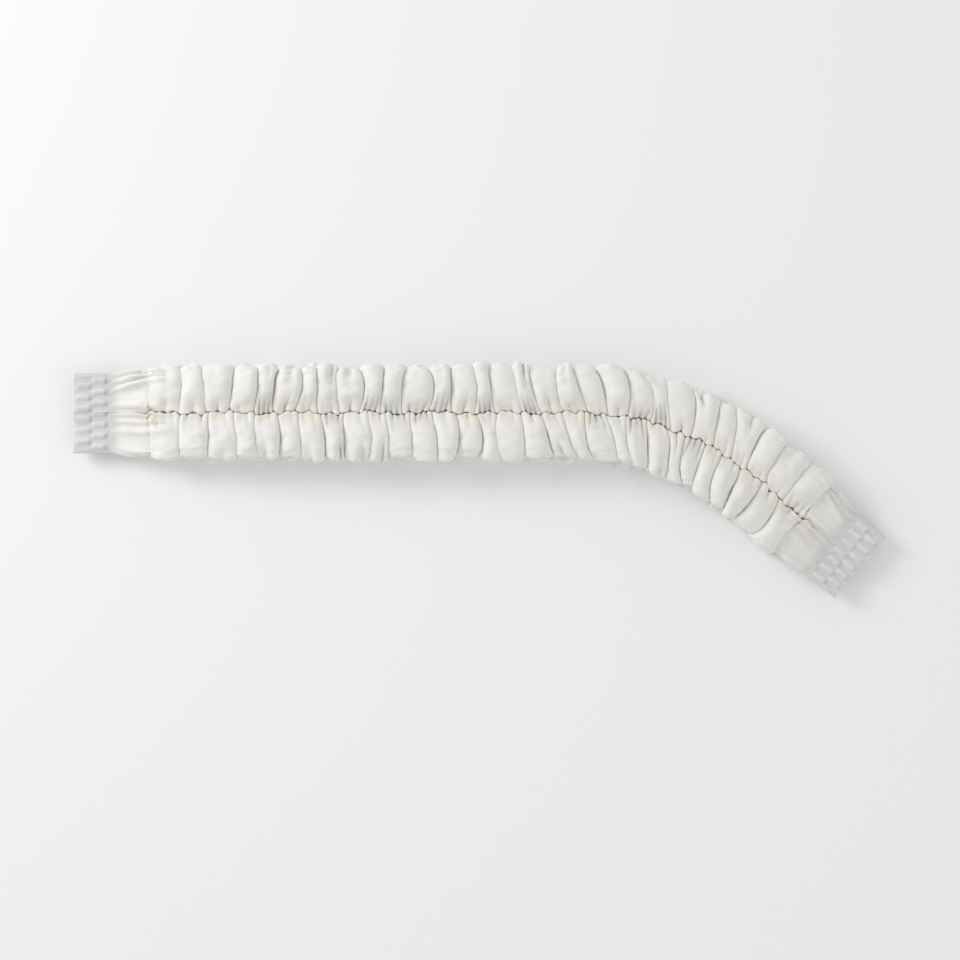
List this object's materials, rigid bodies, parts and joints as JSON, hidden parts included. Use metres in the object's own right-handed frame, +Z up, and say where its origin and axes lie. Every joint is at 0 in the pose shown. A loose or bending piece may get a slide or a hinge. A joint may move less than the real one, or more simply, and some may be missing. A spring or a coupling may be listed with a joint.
{
  "type": "folded disposable cap",
  "caption": "Disposable cap of white nonwoven, pleated and gathered on two hem elastics into a narrow ruffled strip, welded flat at both ends, lying folded.",
  "frame": {"origin": "middle of the footprint's box, on the surface that the strip lies on", "axes": "+X along the straight run of the strip, towards the end that turns aside; +Y across it, away from the side that the end turns to; +Z up, out of the slit between the two hems"},
  "size_m": [0.2006, 0.059, 0.012],
  "materials": {
    "nonwoven": "white spunbonded polypropylene, matt, thin enough to glow where light comes through it",
    "elastic": "cream flat elastic, dull"
  },
  "bodies": {
    "root": {"crown": "nonwoven", "elastic_back": "elastic", "elastic_front": "elastic"}
  },
  "joints": []
}
